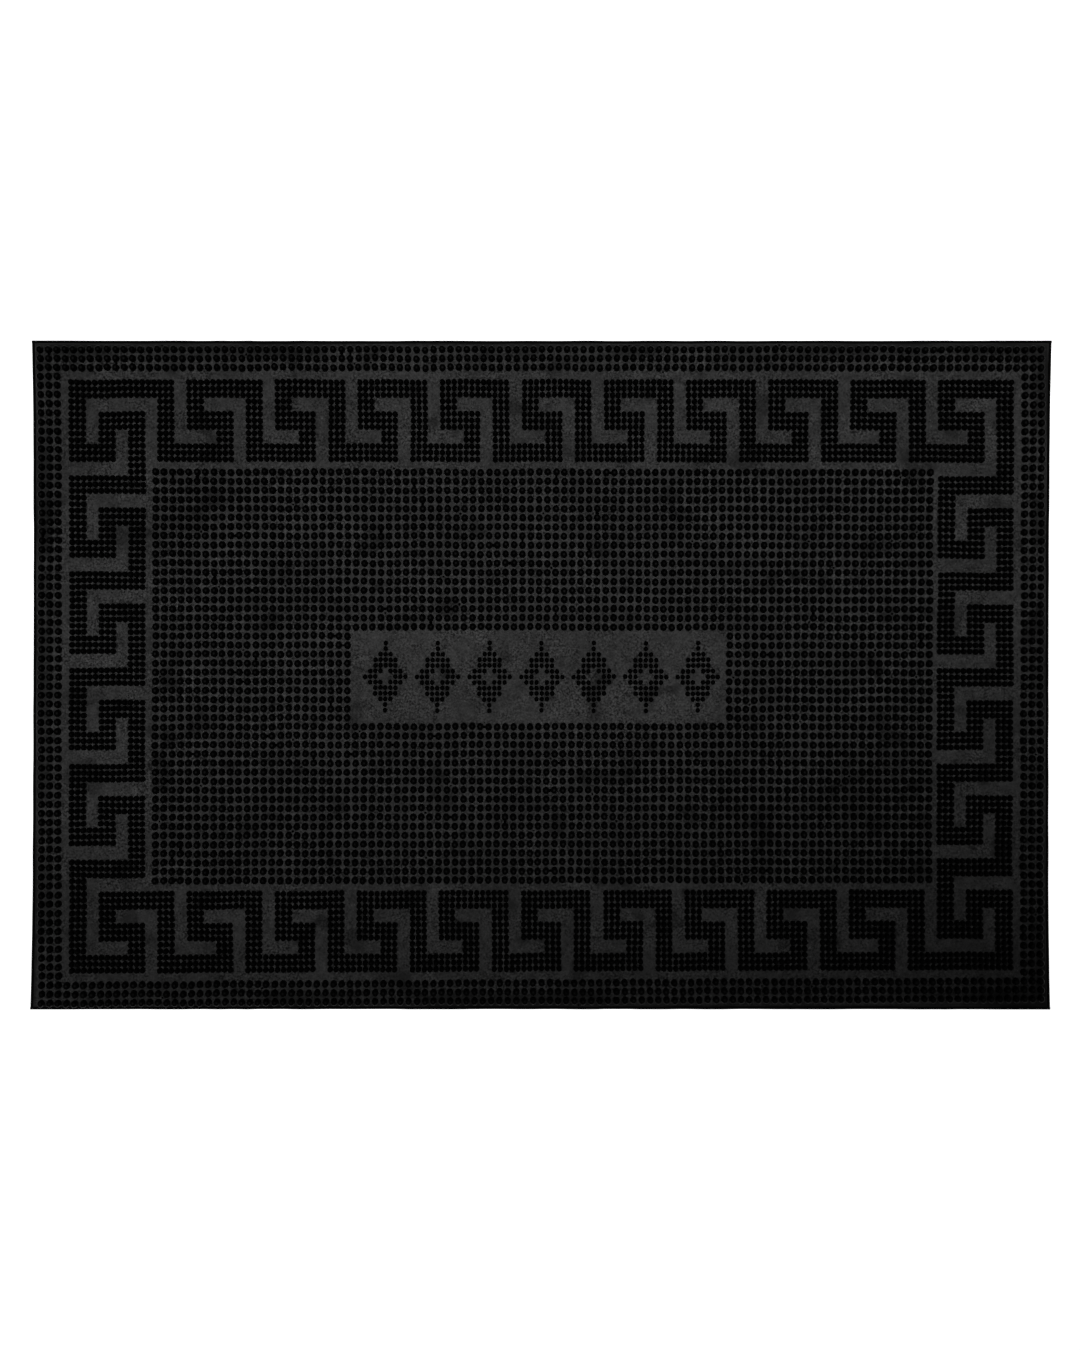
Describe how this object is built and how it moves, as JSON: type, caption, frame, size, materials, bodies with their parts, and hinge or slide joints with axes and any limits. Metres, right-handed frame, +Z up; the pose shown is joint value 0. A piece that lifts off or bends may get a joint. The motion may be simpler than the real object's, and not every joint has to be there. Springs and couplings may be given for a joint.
{
  "type": "door mat",
  "caption": "Rectangular black rubber pin mat with a studded border, a Greek key band of fine pins, a studded centre field and a plain panel holding a row of lozenges.",
  "frame": {"origin": "on the floor under the centre of the mat's bounding box", "axes": "+X along the long side, to the right of someone who faces the mat from its front; +Y across it, to its back; +Z up, out of the pins"},
  "size_m": [0.762, 0.5, 0.008],
  "materials": {
    "sheet_rubber": "matt, finely speckled",
    "bead_rubber": "matt, moulded lip",
    "stud_rubber": "satin black moulded studs",
    "key_rubber": "satin black moulded fine pins"
  },
  "bodies": {
    "root": {"backing_sheet": "sheet_rubber", "border_studs_back": "stud_rubber", "border_studs_front": "stud_rubber", "border_studs_left": "stud_rubber", "border_studs_right": "stud_rubber", "edge_bead_back": "bead_rubber", "edge_bead_front": "bead_rubber", "edge_bead_left": "bead_rubber", "edge_bead_right": "bead_rubber", "field_studs_back": "stud_rubber", "field_studs_front": "stud_rubber", "field_studs_left": "stud_rubber", "field_studs_right": "stud_rubber", "key_back_01": "key_rubber", "key_back_02": "key_rubber", "key_back_03": "key_rubber", "key_back_04": "key_rubber", "key_back_05": "key_rubber", "key_back_06": "key_rubber", "key_back_07": "key_rubber", "key_back_08": "key_rubber", "key_back_09": "key_rubber", "key_back_10": "key_rubber", "key_back_11": "key_rubber", "key_front_01": "key_rubber", "key_front_02": "key_rubber", "key_front_03": "key_rubber", "key_front_04": "key_rubber", "key_front_05": "key_rubber", "key_front_06": "key_rubber", "key_front_07": "key_rubber", "key_front_08": "key_rubber", "key_front_09": "key_rubber", "key_front_10": "key_rubber", "key_front_11": "key_rubber", "key_left_01": "key_rubber", "key_left_02": "key_rubber", "key_left_03": "key_rubber", "key_left_04": "key_rubber", "key_left_05": "key_rubber", "key_right_01": "key_rubber", "key_right_02": "key_rubber", "key_right_03": "key_rubber", "key_right_04": "key_rubber", "key_right_05": "key_rubber", "lozenge_1": "key_rubber", "lozenge_2": "key_rubber", "lozenge_3": "key_rubber", "lozenge_4": "key_rubber", "lozenge_5": "key_rubber", "lozenge_6": "key_rubber", "lozenge_7": "key_rubber"}
  },
  "joints": []
}
